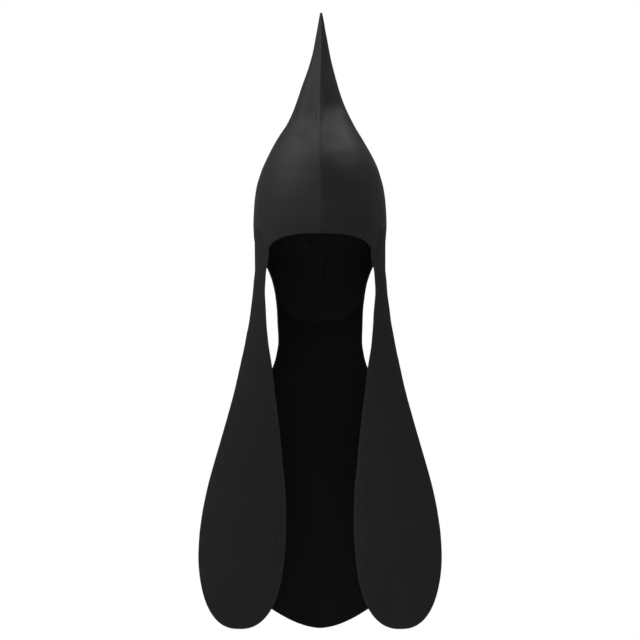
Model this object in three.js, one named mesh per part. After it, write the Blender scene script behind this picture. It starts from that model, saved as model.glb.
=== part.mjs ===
// Pointed turban hood in black knit cloth, with two front lappets and a long back tail.
// Millimetres, +Z up. The wearer looks along -Y, and +X is the wearer's left.
// The origin is the top of the wearer's head, inside the crown.
import * as THREE from 'three';

// Cloth walls and the gap left along every seam
const CROWN_WALL = 2.0;
const LAPPET_WALL = 2.4;
const TAIL_WALL = 2.0;
const SEAM_GAP = 0.3;
const TIP_WALL_SHARE = 0.45;
const SEAM_SIDE_SHARE = 0.25;

// Black knit: a soft sheen on crown and binding, duller on the hanging pieces
const CLOTH = {
  crown: { color: 0x242425, roughness: 0.7 },
  binding: { color: 0x252526, roughness: 0.7 },
  lappet: { color: 0x232324, roughness: 0.75 },
  tail: { color: 0x1c1c1d, roughness: 0.8 },
};

// Heights of the peak, the cheek and the two hanging ends
const PEAK_Z = 174;
const CHEEK_Z = -108;
const LAPPET_FRONT_Z = -124.8;
const LAPPET_END_Z = -590;
const TAIL_END_Z = -609.5;

// Face opening: an arch whose outline is a superellipse seen from the front
const ARCH_HALF_WIDTH = 65.2;
const ARCH_HEIGHT = 34;
const ARCH_BASE_Z = -141.2;
const ARCH_POWER = 3;
const BINDING_WIDTH = 5;
const BINDING_END_TURN = 69.2;

// Angles round the head from the centre front seam, in degrees
const CORNER_AROUND = 54.9;
const LAPPET_FRONT_AROUND = 49.4;
const LAPPET_BACK_AROUND = 82;
const SEAM_GAP_ANGLE = 0.21;
const NAPE_AROUND = 98.5;
const FRONT_ENDS_AROUND = 80;
const BACK_STARTS_AROUND = 95;
const BACK_SEAM_AROUND = 180;

// Horizontal sections of crown and tail: half width, the Y of the widest point, depths in front of
// and behind that point, the height of the seam ridge, and the bend of the back curve
const SECTIONS = [
  { z: 174, half: 1.2, side: 20, front: 1.2, back: 1.2, ridge: 0.3, bend: 0.5 },
  { z: 145, half: 6, side: 17, front: 7.5, back: 8, ridge: 1.8, bend: 0.5 },
  { z: 115, half: 12, side: 15, front: 15.5, back: 16, ridge: 3, bend: 0.5 },
  { z: 85, half: 21, side: 12, front: 26, back: 27.5, ridge: 4.5, bend: 0.5 },
  { z: 55, half: 31.5, side: 10, front: 39, back: 42, ridge: 5.5, bend: 0.5 },
  { z: 33, half: 41.5, side: 8, front: 52, back: 54, ridge: 6, bend: 0.5 },
  { z: 12, half: 54.5, side: 6.5, front: 68, back: 69, ridge: 6.5, bend: 0.5 },
  { z: -8, half: 65.5, side: 5, front: 83.5, back: 81.5, ridge: 7, bend: 0.5 },
  { z: -28, half: 74.5, side: 4, front: 94, back: 91.5, ridge: 7.5, bend: 0.5 },
  { z: -48, half: 80, side: 3, front: 99.5, back: 99, ridge: 8, bend: 0.5 },
  { z: -68, half: 82.5, side: 2.5, front: 101.5, back: 103, ridge: 8, bend: 0.5 },
  { z: -88, half: 83.5, side: 2, front: 101.5, back: 105, ridge: 8, bend: 0.5 },
  { z: -108, half: 82.5, side: 2, front: 100, back: 104, ridge: 7, bend: 0.5 },
  { z: -125, half: 78.5, side: 4, front: 97, back: 98.5, ridge: 5, bend: 0.5 },
  { z: -146, half: 67, side: 9, front: 90, back: 87, ridge: 3, bend: 0.5 },
  { z: -165, half: 60, side: 14, front: 78, back: 75, ridge: 1, bend: 0.5 },
  { z: -190, half: 56, side: 17, front: 62, back: 61, ridge: 0, bend: 0.5 },
  { z: -215, half: 54, side: 16, front: 53, back: 51.5, ridge: 0, bend: 0.5 },
  { z: -240, half: 53, side: 15, front: 50, back: 48, ridge: 0, bend: 0.5 },
  { z: -257, half: 55.5, side: 17, front: 50, back: 49, ridge: 0, bend: 0.52 },
  { z: -270, half: 59.5, side: 21, front: 50, back: 50, ridge: 0, bend: 0.58 },
  { z: -300, half: 77, side: 35, front: 50, back: 48, ridge: 0, bend: 0.75 },
  { z: -330, half: 92, side: 50, front: 50, back: 42, ridge: 0, bend: 0.9 },
  { z: -360, half: 101, side: 61, front: 50, back: 37.5, ridge: 0, bend: 1 },
  { z: -400, half: 107.5, side: 70, front: 50, back: 33, ridge: 0, bend: 1 },
  { z: -440, half: 109.5, side: 75, front: 50, back: 30, ridge: 0, bend: 1 },
  { z: -480, half: 108.5, side: 78, front: 50, back: 27.5, ridge: 0, bend: 1 },
  { z: -520, half: 103, side: 81, front: 50, back: 24.5, ridge: 0, bend: 1 },
  { z: -560, half: 86.5, side: 87, front: 50, back: 18.5, ridge: 0, bend: 1 },
  { z: -586, half: 60, side: 95, front: 50, back: 10.5, ridge: 0, bend: 1 },
  { z: -598, half: 40, side: 100, front: 50, back: 5.5, ridge: 0, bend: 1 },
  { z: -606, half: 20.5, side: 103.5, front: 50, back: 2, ridge: 0, bend: 1 },
  { z: TAIL_END_Z, half: 5, side: 105, front: 50, back: 0.5, ridge: 0, bend: 1 },
];

// Lower edge of the crown behind the corner of the face opening: temple seam, ear notch, nape seam
const CROWN_EDGE = [
  { around: CORNER_AROUND, z: -121.3 },
  { around: 56.3, z: -111 },
  { around: 59.6, z: -100.5 },
  { around: 65.7, z: -98 },
  { around: LAPPET_BACK_AROUND, z: -98 },
  { around: 86, z: -99.5 },
  { around: 89, z: -106 },
  { around: 91.5, z: -117 },
  { around: 94, z: -133 },
  { around: 96, z: -150 },
  { around: 97.5, z: -166 },
  { around: NAPE_AROUND, z: -180 },
  { around: 115, z: -193 },
  { around: 135, z: -204 },
  { around: 158, z: -212 },
  { around: BACK_SEAM_AROUND, z: -214.5 },
];

// Sections of the lappet: centre of the chord, its width, the way it faces (degrees from straight
// ahead) and how far the middle bows out
const LAPPET_SECTIONS = [
  { z: -98, x: 72, y: -34.5, width: 51.5, facing: 68, bow: 3.3 },
  { z: -124, x: 72, y: -35.5, width: 51, facing: 68.5, bow: 3.2 },
  { z: -137, x: 73, y: -36.5, width: 45, facing: 69.5, bow: 2.8 },
  { z: -150, x: 74, y: -38, width: 38.5, facing: 70, bow: 2.4 },
  { z: -165, x: 75.3, y: -40, width: 33.5, facing: 66.5, bow: 2 },
  { z: -180, x: 76, y: -42.5, width: 31.5, facing: 62, bow: 1.8 },
  { z: -210, x: 77, y: -47.5, width: 31.5, facing: 49, bow: 1.6 },
  { z: -240, x: 78.2, y: -53.5, width: 35, facing: 35, bow: 2 },
  { z: -270, x: 79, y: -59.5, width: 43.5, facing: 24, bow: 3 },
  { z: -300, x: 80.5, y: -65.5, width: 52, facing: 16.5, bow: 4 },
  { z: -330, x: 82.5, y: -70.5, width: 63, facing: 11.5, bow: 5 },
  { z: -360, x: 85, y: -74.5, width: 74.5, facing: 9, bow: 6 },
  { z: -390, x: 88, y: -78, width: 86, facing: 8.3, bow: 7 },
  { z: -420, x: 90.5, y: -80, width: 97, facing: 8, bow: 8 },
  { z: -450, x: 93, y: -82, width: 104, facing: 8, bow: 8.5 },
  { z: -480, x: 95, y: -82.5, width: 107.5, facing: 8, bow: 8.5 },
  { z: -510, x: 96.7, y: -83, width: 105.5, facing: 8, bow: 8 },
  { z: -540, x: 97.3, y: -82.7, width: 97.5, facing: 8, bow: 6.5 },
  { z: -555, x: 97.6, y: -82.5, width: 88.5, facing: 8, bow: 5.5 },
  { z: -570, x: 98.2, y: -82.3, width: 72, facing: 8, bow: 4 },
  { z: -580, x: 98.7, y: -82.2, width: 54.5, facing: 8, bow: 2.5 },
  { z: -587, x: 99, y: -82.1, width: 30, facing: 8, bow: 1 },
  { z: LAPPET_END_Z, x: 99, y: -82, width: 8, facing: 8, bow: 0.2 },
];

// Grid columns, by stretch of the crown's lower edge. Pieces that meet along a seam share them.
const ARCH_TURNS = [0, 2, 8, 16, 25, 34, 43, 51, 58, 64];
const TEMPLE_AROUNDS = [CORNER_AROUND, 56.3, 58, 60, 63, 67, 72, 77, LAPPET_BACK_AROUND];
const NOTCH_AROUNDS = [84, 86, 88.5, 91, 93, 95, 97];
const NAPE_AROUNDS = [NAPE_AROUND, 106, 115, 126, 139, 153, 167, BACK_SEAM_AROUND];
const CROWN_ROWS = 20;
const HANGING_ROWS = { even: 17, rounded: 8, split: 0.86 };

// Smooth curve through one column of a table, free of overshoot, read at any value of the key
function columnCurve(table, key, column) {
  const rows = [...table].sort((a, b) => a[key] - b[key]);
  const at = rows.map((row) => row[key]);
  const value = rows.map((row) => row[column]);
  const last = rows.length - 1;
  const step = at.slice(1).map((x, i) => (value[i + 1] - value[i]) / (x - at[i]));
  const slope = value.map((unused, i) => {
    if (i === 0) return step[0];
    if (i === last) return step[last - 1];
    if (step[i - 1] * step[i] <= 0) return 0;
    return (2 * step[i - 1] * step[i]) / (step[i - 1] + step[i]);
  });
  return (x) => {
    const held = THREE.MathUtils.clamp(x, at[0], at[last]);
    let i = 0;
    while (i < last - 1 && held > at[i + 1]) i += 1;
    const span = at[i + 1] - at[i];
    const t = (held - at[i]) / span;
    const rise = value[i + 1] - value[i];
    const ease = t * t * (3 - 2 * t);
    const start = slope[i] * span * t * (1 - t) * (1 - t);
    const end = slope[i + 1] * span * t * t * (t - 1);
    return value[i] + rise * ease + start + end;
  };
}

function columnCurves(table, key) {
  const names = Object.keys(table[0]).filter((name) => name !== key);
  return Object.fromEntries(names.map((name) => [name, columnCurve(table, key, name)]));
}

const section = columnCurves(SECTIONS, 'z');
const lappetSection = columnCurves(LAPPET_SECTIONS, 'z');
const crownEdgeBehindCorner = columnCurve(CROWN_EDGE, 'around', 'z');

// Point on the outside of the crown or tail, on the +X half. In front of the ear the wall runs
// straight down below the cheek level; behind the ear it follows the head in to the neck.
function bodyPoint(around, z) {
  const behindEar = THREE.MathUtils.smoothstep(around, FRONT_ENDS_AROUND, BACK_STARTS_AROUND);
  const level = THREE.MathUtils.lerp(Math.max(z, CHEEK_Z), z, behindEar);
  const angle = THREE.MathUtils.degToRad(around);
  const across = Math.sin(angle);
  const along = Math.cos(angle);
  const ridge = section.ridge(level);
  const crest = ridge * (1 - across) ** 2;
  const x = section.half(level) * across;
  const side = section.side(level);
  if (along > 0) {
    return new THREE.Vector3(x, side - (section.front(level) - ridge) * along - crest, z);
  }
  const curve = (-along) ** (2 * section.bend(level));
  return new THREE.Vector3(x, side + (section.back(level) - ridge) * curve + crest, z);
}

// Point of the face arch, grown outward by a margin, at a turn from its top, seen from the front
function archPoint(turn, margin) {
  const angle = THREE.MathUtils.degToRad(turn);
  const x = (ARCH_HALF_WIDTH + margin) * Math.abs(Math.sin(angle)) ** (2 / ARCH_POWER);
  const y = ARCH_BASE_Z + (ARCH_HEIGHT + margin) * Math.cos(angle) ** (2 / ARCH_POWER);
  return new THREE.Vector2(x * Math.sign(angle), y);
}

// Height of the grown arch at a distance from the centre line
function archHeight(x, margin) {
  const share = Math.min(1, x / (ARCH_HALF_WIDTH + margin));
  const rise = (1 - share ** ARCH_POWER) ** (1 / ARCH_POWER);
  return ARCH_BASE_Z + (ARCH_HEIGHT + margin) * rise;
}

function crownEdge(around) {
  if (around > CORNER_AROUND) return crownEdgeBehindCorner(around);
  const x = section.half(CHEEK_Z) * Math.sin(THREE.MathUtils.degToRad(around));
  return archHeight(x, BINDING_WIDTH + SEAM_GAP);
}

// Closed cloth wall: an outer grid of points, an inner grid one wall thickness behind it and a rim
// along the edge. A column on a centre seam is set back inside the plane of that seam, and in the
// narrow peak no inner point comes nearer to that plane than a share of its outer point's distance.
function clothWall({ columns, rows, point, wall, seams }) {
  const nudge = 0.0005;
  const across = columns.length;
  const outer = [];
  const inner = [];
  for (const v of rows) {
    for (const u of columns) {
      const spot = point(u, v);
      const alongU = point(Math.min(u + nudge, 1), v).sub(point(Math.max(u - nudge, 0), v));
      const alongV = point(u, Math.min(v + nudge, 1)).sub(point(u, Math.max(v - nudge, 0)));
      const normal = alongU.cross(alongV).normalize();
      if (seams.includes(u)) {
        const kept = 1 - normal.x ** 2;
        normal.setX(0).divideScalar(kept);
      }
      const behind = spot.clone().addScaledVector(normal, -wall(spot.z));
      if (seams.length > 0) {
        const nearest = THREE.MathUtils.lerp(SEAM_GAP / 2, spot.x, SEAM_SIDE_SHARE);
        behind.setX(Math.max(behind.x, nearest));
      }
      outer.push(spot);
      inner.push(behind);
    }
  }
  const count = outer.length;
  const faces = [];
  const index = (i, j) => j * across + i;
  for (let j = 0; j < rows.length - 1; j += 1) {
    for (let i = 0; i < across - 1; i += 1) {
      const a = index(i, j);
      const b = index(i + 1, j);
      const c = index(i + 1, j + 1);
      const d = index(i, j + 1);
      faces.push(a, b, c, a, c, d);
      faces.push(count + a, count + c, count + b, count + a, count + d, count + c);
    }
  }
  const right = across - 1;
  const top = rows.length - 1;
  const edge = [];
  for (let i = 0; i < right; i += 1) edge.push(index(i, 0));
  for (let j = 0; j < top; j += 1) edge.push(index(right, j));
  for (let i = right; i > 0; i -= 1) edge.push(index(i, top));
  for (let j = top; j > 0; j -= 1) edge.push(index(0, j));
  edge.forEach((p, k) => {
    const q = edge[(k + 1) % edge.length];
    faces.push(q, p, count + p, q, count + p, count + q);
  });
  const geometry = new THREE.BufferGeometry().setFromPoints([...outer, ...inner]);
  geometry.setIndex(faces);
  geometry.computeVertexNormals();
  return geometry;
}

function evenSteps(count) {
  return Array.from({ length: count + 1 }, (unused, i) => i / count);
}

// Rows for a hanging piece: even to the split, then closing up towards the rounded end
function hangingRows() {
  const { even, rounded, split } = HANGING_ROWS;
  const straight = evenSteps(even).map((t) => t * split);
  const curve = evenSteps(rounded).slice(1).map((t) => split + (1 - split) * Math.sin((t * Math.PI) / 2));
  return [...straight, ...curve];
}

// Crown half: columns run from its lower edge up to the peak
function crownGeometry() {
  const archArounds = ARCH_TURNS.map((turn) => {
    const away = archPoint(turn, BINDING_WIDTH + SEAM_GAP).x;
    return THREE.MathUtils.radToDeg(Math.asin(away / section.half(CHEEK_Z)));
  });
  const arounds = [...archArounds, ...TEMPLE_AROUNDS, ...NOTCH_AROUNDS, ...NAPE_AROUNDS];
  const point = (u, v) => {
    const around = u * BACK_SEAM_AROUND;
    const z = THREE.MathUtils.lerp(crownEdge(around), PEAK_Z, v);
    const spot = bodyPoint(around, z);
    spot.x += SEAM_GAP / 2;
    return spot;
  };
  return clothWall({
    columns: arounds.map((around) => around / BACK_SEAM_AROUND),
    rows: evenSteps(CROWN_ROWS),
    point,
    wall: (z) => Math.min(CROWN_WALL, TIP_WALL_SHARE * section.half(Math.max(z, CHEEK_Z))),
    seams: [0, 1],
  });
}

// Binding: a band that follows the arch from temple to temple on the crown's own surface
function bindingGeometry() {
  const turns = [...ARCH_TURNS, BINDING_END_TURN];
  const mirroredTurns = turns.slice(1).reverse().map((turn) => -turn);
  const point = (u, v) => {
    const turn = THREE.MathUtils.lerp(-BINDING_END_TURN, BINDING_END_TURN, u);
    const spot = archPoint(turn, v * BINDING_WIDTH);
    const around = Math.asin(Math.abs(spot.x) / section.half(Math.max(spot.y, CHEEK_Z)));
    const depth = bodyPoint(THREE.MathUtils.radToDeg(around), spot.y).y;
    return new THREE.Vector3(spot.x, depth, spot.y);
  };
  return clothWall({
    columns: [...mirroredTurns, ...turns].map((turn) => 0.5 + (0.5 * turn) / BINDING_END_TURN),
    rows: evenSteps(2),
    point,
    wall: () => CROWN_WALL,
    seams: [],
  });
}

// Top edge of the lappet, one gap below the binding's end and behind the temple seam
function lappetTop(around) {
  const corner = CORNER_AROUND + SEAM_GAP_ANGLE;
  if (around > corner) return crownEdge(around - SEAM_GAP_ANGLE) - SEAM_GAP;
  const share = THREE.MathUtils.inverseLerp(LAPPET_FRONT_AROUND, corner, around);
  return THREE.MathUtils.lerp(LAPPET_FRONT_Z, crownEdge(CORNER_AROUND) - SEAM_GAP, share);
}

// Lappet: columns run from the temple seam down to the rounded end, from back edge to front edge
function lappetGeometry() {
  const span = LAPPET_BACK_AROUND - LAPPET_FRONT_AROUND;
  const seam = TEMPLE_AROUNDS.slice(0, -1).map((around) => around + SEAM_GAP_ANGLE);
  const arounds = [LAPPET_FRONT_AROUND, ...seam, LAPPET_BACK_AROUND];
  const point = (u, v) => {
    const around = THREE.MathUtils.lerp(LAPPET_BACK_AROUND, LAPPET_FRONT_AROUND, u);
    const z = THREE.MathUtils.lerp(lappetTop(around), LAPPET_END_Z, v);
    const facing = THREE.MathUtils.degToRad(lappetSection.facing(z));
    const along = (0.5 - u) * lappetSection.width(z);
    const out = lappetSection.bow(z) * (1 - (1 - 2 * u) ** 2);
    const x = lappetSection.x(z) + along * Math.cos(facing) + out * Math.sin(facing);
    const y = lappetSection.y(z) + along * Math.sin(facing) - out * Math.cos(facing);
    return new THREE.Vector3(x, y, z);
  };
  return clothWall({
    columns: arounds.reverse().map((around) => (LAPPET_BACK_AROUND - around) / span),
    rows: hangingRows(),
    point,
    wall: () => LAPPET_WALL,
    seams: [],
  });
}

// Tail half: columns run from the nape seam down to the rounded end, from centre back to the side
function tailGeometry() {
  const span = BACK_SEAM_AROUND - NAPE_AROUND;
  const point = (u, v) => {
    const around = THREE.MathUtils.lerp(BACK_SEAM_AROUND, NAPE_AROUND, u);
    const z = THREE.MathUtils.lerp(crownEdge(around) - SEAM_GAP, TAIL_END_Z, v);
    const spot = bodyPoint(around, z);
    spot.x += SEAM_GAP / 2;
    return spot;
  };
  return clothWall({
    columns: [...NAPE_AROUNDS].reverse().map((around) => (BACK_SEAM_AROUND - around) / span),
    rows: hangingRows(),
    point,
    wall: () => TAIL_WALL,
    seams: [0],
  });
}

function clothMesh(name, geometry, cloth, mirrored) {
  const material = new THREE.MeshStandardMaterial({ ...cloth, metalness: 0 });
  const mesh = new THREE.Mesh(geometry, material);
  mesh.name = name;
  mesh.scale.x = mirrored ? -1 : 1;
  return mesh;
}

const hood = new THREE.Group();
for (const [side, mirrored] of [['left', false], ['right', true]]) {
  hood.add(clothMesh(`crown_${side}`, crownGeometry(), CLOTH.crown, mirrored));
  hood.add(clothMesh(`lappet_${side}`, lappetGeometry(), CLOTH.lappet, mirrored));
  hood.add(clothMesh(`tail_${side}`, tailGeometry(), CLOTH.tail, mirrored));
}
hood.add(clothMesh('face_binding', bindingGeometry(), CLOTH.binding, false));

export default hood;
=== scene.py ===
"""Pointed turban hood in black knit cloth, held in its worn shape on a white stage.

Lengths in the tables are millimetres in the part's frame: +Z up, the wearer looks along -Y and
+X is the wearer's left. Each sewn piece is a fine double-sided wall that replaces its plain solid.
"""
import math

import bpy
import numpy as np
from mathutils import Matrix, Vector
from mathutils.bvhtree import BVHTree
from mathutils.kdtree import KDTree


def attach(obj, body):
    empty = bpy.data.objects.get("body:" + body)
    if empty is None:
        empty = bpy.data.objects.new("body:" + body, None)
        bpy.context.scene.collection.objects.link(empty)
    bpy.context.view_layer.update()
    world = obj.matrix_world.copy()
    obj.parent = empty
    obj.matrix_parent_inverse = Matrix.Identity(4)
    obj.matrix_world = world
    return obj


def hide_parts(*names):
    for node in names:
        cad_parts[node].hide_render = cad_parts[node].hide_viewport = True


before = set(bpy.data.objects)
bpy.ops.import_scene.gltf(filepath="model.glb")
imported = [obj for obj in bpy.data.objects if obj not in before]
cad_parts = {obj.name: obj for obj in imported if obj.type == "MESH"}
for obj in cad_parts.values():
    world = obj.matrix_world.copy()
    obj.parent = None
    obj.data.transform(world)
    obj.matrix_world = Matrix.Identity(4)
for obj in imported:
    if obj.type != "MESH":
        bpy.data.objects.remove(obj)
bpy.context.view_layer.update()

MM = 0.001
LEFT, RIGHT = 1, -1

# Heights of the peak, the cheek and the hanging ends
PEAK_Z = 174.0
CHEEK_Z = -108.0
LAPPET_END_Z = -589.9
TAIL_END_Z = -609.5

# Face opening: a superellipse arch seen from the front
ARCH_HALF_WIDTH = 67.0
ARCH_HEIGHT = 34.0
ARCH_BASE_Z = -141.2
ARCH_POWER = 3.0
BINDING_WIDTH = 5.0
BINDING_END_TURN = 69.2

# Angles round the head from the centre front seam, in degrees
LAPPET_BACK_AROUND = 82.0
NAPE_AROUND = 98.5
FRONT_ENDS_AROUND = 80.0
BACK_STARTS_AROUND = 95.0
FRONT_FOLDS_FADE_AROUND = 75.0
BACK_SEAM_AROUND = 180.0

# Round ends: the lappet closes as a superellipse, the tail by a power of the height
LAPPET_WIDEST_Z = -480.0
LAPPET_WIDEST = 107.5
LAPPET_ROUND = 110.0
LAPPET_ROUND_POWER = 2.4
TAIL_ROUND_FROM_Z = -572.0
TAIL_ROUND_Z = -586.0
TAIL_ROUND_ZERO_Z = -609.7
TAIL_ROUND_RATE = 51.4
TAIL_ROUND_POWER = 0.5764

# Cloth: wall thickness, and what hems, seams and edges do to it
CROWN_WALL = 1.8
LAPPET_WALL = 1.8
TAIL_WALL = 1.6
BINDING_WALL = 2.2
BINDING_ROLL = 0.4
BINDING_ROLL_MIDDLE = 2.2
BINDING_ROLL_HALF = 2.8
BINDING_EDGE_REACH = 2.0
BINDING_STITCH_AT = 3.6
TIP_WALL_SHARE = 0.45
TIP_WALL_REACH = 40.0
TIP_ROUND = 1.2
TIP_CLOSED_SHARE = 0.97
SEAM_SIDE_SHARE = 0.25
HEM_WIDTH = 8.0
HEM_PUFF = 0.08
HEM_PUFF_FADE = 2.5
HEM_GROOVE = 0.05
HEM_GROOVE_WIDTH = 0.7
HEM_FOLD = 0.6
EDGE_RADIUS = 1.0
FREE_EDGE_SHARE = 0.15
SEAM_EDGE_SHARE = 0.8
CROWN_SEAM_SHARE = 1.0
SEAM_WELT = 0.15
SEAM_ALLOWANCE = 6.0
SEAM_WELT_FADE = (SEAM_ALLOWANCE - 1, SEAM_ALLOWANCE + 2)
SEAM_FLAT_REACH = 1.5
PUCKER = 0.2
PUCKER_REACH = 4.0
PUCKER_SIZE = 4.5
WEAR_REACH = 2.0
SEAM_WEAR_RATE = 1.5
FACING_REACH = 6.0

# Stretch: 1 where the cloth is smooth over the head, 0 where it hangs slack
TAUT_ABOVE_Z = -50.0
EDGE_TAUT_BELOW_Z = -110.0
SLACK_REACH = 50.0
EDGE_TAUT = 0.15

# Unevenness of the cloth
# Columns: height, size, reach over which it starts at a seam
CROWN_WRINKLES = [(0.7, 42, 20), (0.25, 16, 20)]
LAPPET_WRINKLES = [(1.2, 70, 60), (0.25, 18, 20)]
TAIL_WRINKLES = [(1.0, 60, 40), (0.25, 18, 20)]

# The lappets' lower edges curl back, and the tail falls in shallow flutes
HANG_REACH = 28.0
CURL = 3.0
CURL_REACH = 20.0
CURL_WIDTH_SHARE = 0.3
CURL_FROM_Z = -360.0
CURL_FULL_Z = -470.0
CURL_SEAM_REACH = 30.0
FLUTE = 3.5
FLUTE_WIDTH = {LEFT: 84.0, RIGHT: 76.0}
FLUTE_FROM_Z = -280.0
FLUTE_FULL_Z = -480.0

# First seeds of the unevenness of each piece
CROWN_SEED = 100
LAPPET_SEED = 200
TAIL_SEED = 300
BINDING_SEED = 400

# Sharpness of the keel along the centre seams
RIDGE_POWER = 3.5

# The peak leans a little to the wearer's left
LEAN = 1.5
LEAN_FROM_Z = 55.0
LEAN_TO_Z = 130.0

# Horizontal sections of crown and tail
SECTION_COLUMNS = ("z", "half", "side", "front", "back", "ridge", "bend")
SECTIONS = [
    (174, 1.2, 20, 1.2, 1.2, 0.3, 0.5),
    (145, 6.6, 17, 7.8, 8, 1.8, 0.5),
    (115, 12.5, 15, 16, 16, 3, 0.5),
    (85, 21.2, 12, 25.5, 27.5, 4.5, 0.5),
    (55, 31.5, 10, 37.5, 42, 5.5, 0.5),
    (33, 41.5, 8, 49.5, 54, 6, 0.5),
    (12, 54.5, 6.5, 67, 69, 6.5, 0.5),
    (-8, 65.5, 5, 84, 81.5, 7, 0.5),
    (-28, 74.5, 4, 94, 91.5, 7.5, 0.5),
    (-48, 80, 3, 99.5, 99, 8, 0.5),
    (-68, 82.5, 2.5, 101.5, 103, 8, 0.5),
    (-88, 83.5, 2, 101.5, 105, 8, 0.5),
    (-108, 82.5, 2, 100, 104, 7, 0.5),
    (-125, 78.5, 4, 97, 98.5, 5, 0.5),
    (-146, 67, 9, 90, 87, 3, 0.5),
    (-165, 60, 14, 78, 75, 1, 0.5),
    (-190, 56, 17, 62, 61, 0, 0.5),
    (-215, 54, 16, 53, 51.5, 0, 0.5),
    (-240, 53, 15, 50, 48, 0, 0.5),
    (-257, 55.5, 17, 50, 49, 0, 0.52),
    (-270, 59.5, 21, 50, 50, 0, 0.58),
    (-300, 77, 35, 50, 48, 0, 0.75),
    (-330, 92, 50, 50, 42, 0, 0.9),
    (-360, 101, 61, 50, 37.5, 0, 1),
    (-400, 107.5, 70, 50, 33, 0, 1),
    (-440, 109.5, 75, 50, 30, 0, 1),
    (-480, 108.5, 78, 50, 27.5, 0, 1),
    (-520, 103, 81, 50, 24.5, 0, 1),
    (-560, 86.5, 87, 50, 18.5, 0, 1),
    (-586, 60, 95, 50, 10.5, 0, 1),
    (-598, 40, 100, 50, 5.5, 0, 1),
    (-606, 20.5, 103.5, 50, 2, 0, 1),
    (-609.5, 5, 105, 50, 0.5, 0, 1),
]

# Lower edge of the crown behind the corner of the face opening: temple seam, ear notch, nape seam
CROWN_EDGE = [
    (58.2, -111),
    (61.2, -100.5),
    (66.7, -98),
    (LAPPET_BACK_AROUND, -98),
    (86, -99.5),
    (89, -106),
    (91.5, -117),
    (94, -133),
    (96, -150),
    (97.5, -166),
    (NAPE_AROUND, -180),
    (115, -193),
    (135, -204),
    (158, -212),
    (BACK_SEAM_AROUND, -214.5),
]

# Sections of the lappet: centre of the chord, width, facing (degrees from straight ahead) and bow
LAPPET_COLUMNS = ("z", "x", "y", "width", "facing", "bow")
LAPPET_SECTIONS = [
    (-98, 72, -34.5, 51.5, 68, 3.3),
    (-124, 72, -35.5, 51, 68.5, 3.2),
    (-137, 73, -36.5, 45, 69.5, 2.8),
    (-150, 74, -38, 38.5, 70, 2.4),
    (-165, 75.3, -40, 33.5, 66.5, 2),
    (-180, 76, -42.5, 31.5, 62, 1.8),
    (-210, 77, -47.5, 31.5, 49, 1.6),
    (-240, 78.2, -53.5, 35, 35, 2),
    (-270, 79, -59.5, 43.5, 24, 3),
    (-300, 80.5, -65.5, 52, 16.5, 4),
    (-330, 82.5, -70.5, 63, 11.5, 5),
    (-360, 85, -74.5, 74.5, 9, 6),
    (-390, 88, -78, 86, 8.3, 7),
    (-420, 90.5, -80, 97, 8, 8),
    (-450, 93, -82, 104, 8, 8.5),
    (-480, 95, -82.5, 107.5, 8, 8.5),
    (-510, 96.7, -83, 105.5, 8, 8),
    (-540, 97.3, -82.7, 97.5, 8, 6.5),
    (-570, 98.2, -82.3, 72, 8, 4),
    (-590, 99, -82, 8, 8, 0.2),
]

# Creases fade towards a seam and, in shares of their length, over both of their ends
FOLD_SEAM_REACH = 10.0
FOLD_STARTS = (-0.15, 0.35)
FOLD_ENDS = (0.65, 1.15)

# Soft creases in front view, each from one spot to another; a height below 0 goes inward
# Columns: x0, z0, x1, z1, sag, height, width
CROWN_FRONT_FOLDS = {
    LEFT: [
        (-2, 53, 32, 57, 2, -2.6, 19),
        (14, -14, 62, 4, 3, -0.4, 12),
    ],
    RIGHT: [
        (-52, 20, -20, 13, 1, 0.5, 5),
        (-44, 34, 4, 43, 2, -3.0, 18),
    ],
}
CROWN_BACK_FOLDS = {
    LEFT: [(6, 30, 40, -10, 5, 0.9, 10), (20, -110, 6, -172, 1, -2.4, 6)],
    RIGHT: [(-44, -6, -8, 22, 4, 0.8, 9), (-22, -104, -4, -128, 2, -2.4, 6)],
}
LAPPET_FOLDS = {
    LEFT: [
        (77, -152, 79, -180, 0.5, 1.8, 2.5),
        (70, -190, 72, -250, 2, -0.8, 5),
        (62, -300, 74, -430, 5, -1.6, 13),
        (96, -545, 84, -575, 3, -1.4, 12),
    ],
    RIGHT: [
        (-74, -150, -79, -190, 1, 0.9, 4),
        (-82, -196, -84, -262, 2, -0.8, 5),
        (-60, -350, -66, -470, 4, -1.6, 11),
        (-84, -545, -98, -572, 3, -1.3, 12),
    ],
}
TAIL_FOLDS = {
    LEFT: [
        (2, -216, 22, -206, 2, -1.6, 4),
        (4, -330, 46, -342, 6, -1.2, 14),
    ],
    RIGHT: [
        (-40, -186, -3, -217, 6, -1.8, 5),
        (-60, -300, -20, -330, 6, -1.0, 12),
    ],
}


def column_curve(keys, values):
    """Smooth curve through table values, free of overshoot, read for whole arrays."""
    order = np.argsort(keys)
    x = np.asarray(keys, float)[order]
    y = np.asarray(values, float)[order]
    step = np.diff(y) / np.diff(x)
    slope = np.empty_like(y)
    slope[0] = step[0]
    slope[-1] = step[-1]
    same_way = step[:-1] * step[1:] > 0
    total = np.where(same_way, step[:-1] + step[1:], 1.0)
    slope[1:-1] = np.where(same_way, 2 * step[:-1] * step[1:] / total, 0.0)

    def read(at):
        held = np.clip(at, x[0], x[-1])
        i = np.clip(np.searchsorted(x, held) - 1, 0, len(x) - 2)
        span = x[i + 1] - x[i]
        t = (held - x[i]) / span
        ease = t * t * (3 - 2 * t)
        start = slope[i] * span * t * (1 - t) ** 2
        end = slope[i + 1] * span * t * t * (t - 1)
        return y[i] + (y[i + 1] - y[i]) * ease + start + end

    return read


def column_curves(columns, rows):
    table = np.array(rows, float)
    return {name: column_curve(table[:, 0], table[:, k]) for k, name in enumerate(columns) if k}


def smoothstep(low, high, at):
    t = np.clip((at - low) / (high - low), 0.0, 1.0)
    return t * t * (3 - 2 * t)


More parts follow.
